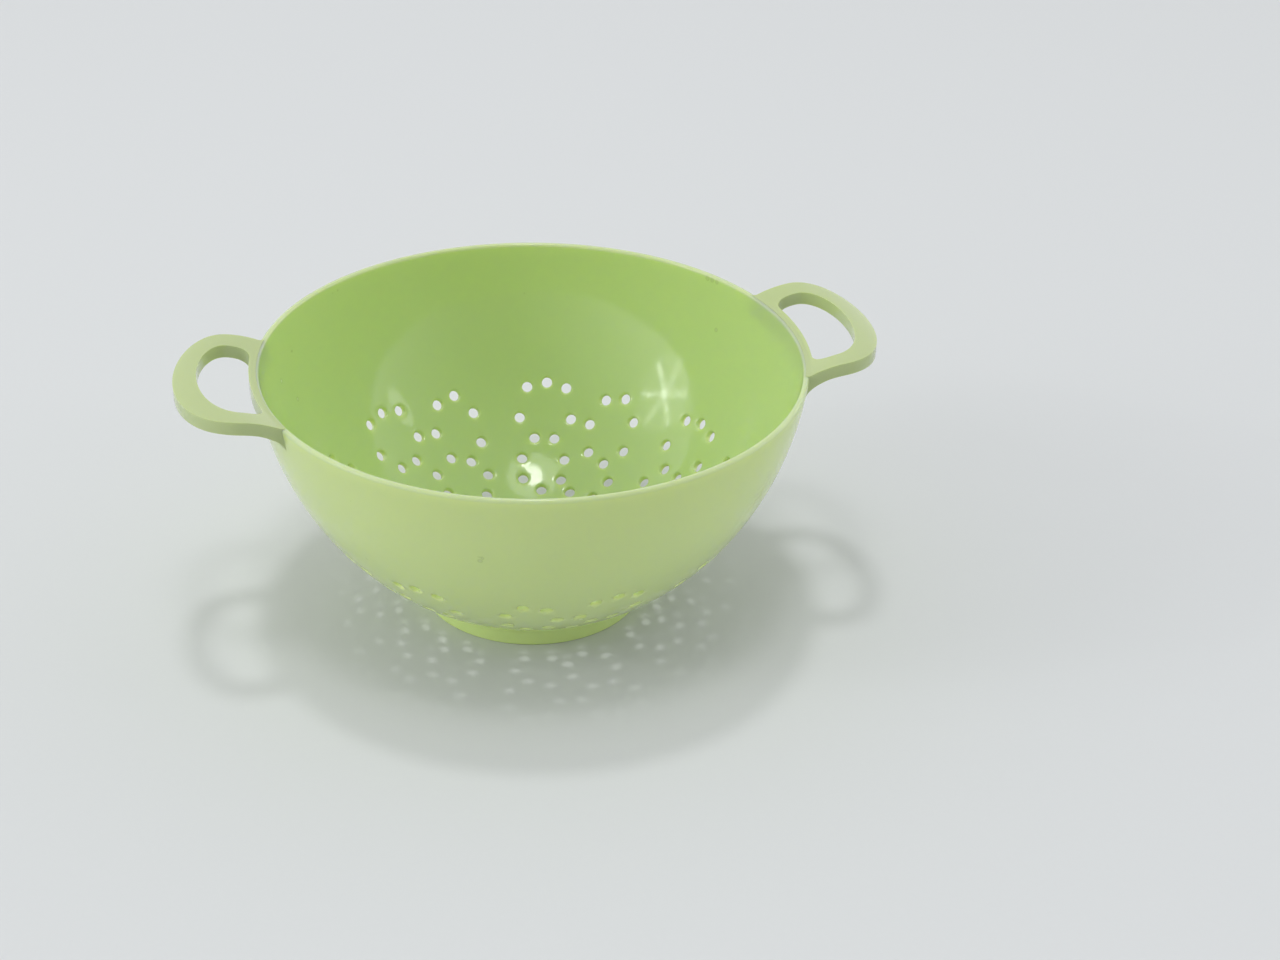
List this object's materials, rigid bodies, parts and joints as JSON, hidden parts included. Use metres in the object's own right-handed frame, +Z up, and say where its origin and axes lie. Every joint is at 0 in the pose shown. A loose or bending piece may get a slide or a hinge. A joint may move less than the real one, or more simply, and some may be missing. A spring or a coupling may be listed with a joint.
{
  "type": "colander",
  "caption": "Round plastic colander: a deep thin-walled bowl with drain holes in looping columns, a short foot ring, and a flat loop handle on each side of the rim.",
  "frame": {"origin": "centre of the foot ring's underside, on the surface that the colander stands on", "axes": "+Z up along the bowl's axis, +X through the right handle, +Y to the far side of the bowl"},
  "size_m": [0.302, 0.236, 0.1183],
  "materials": {
    "green_plastic": "glossy moulded polypropylene, pale apple green, slightly translucent"
  },
  "bodies": {
    "root": {"bowl": "green_plastic", "foot_ring": "green_plastic", "right_handle": "green_plastic", "left_handle": "green_plastic"}
  },
  "joints": []
}
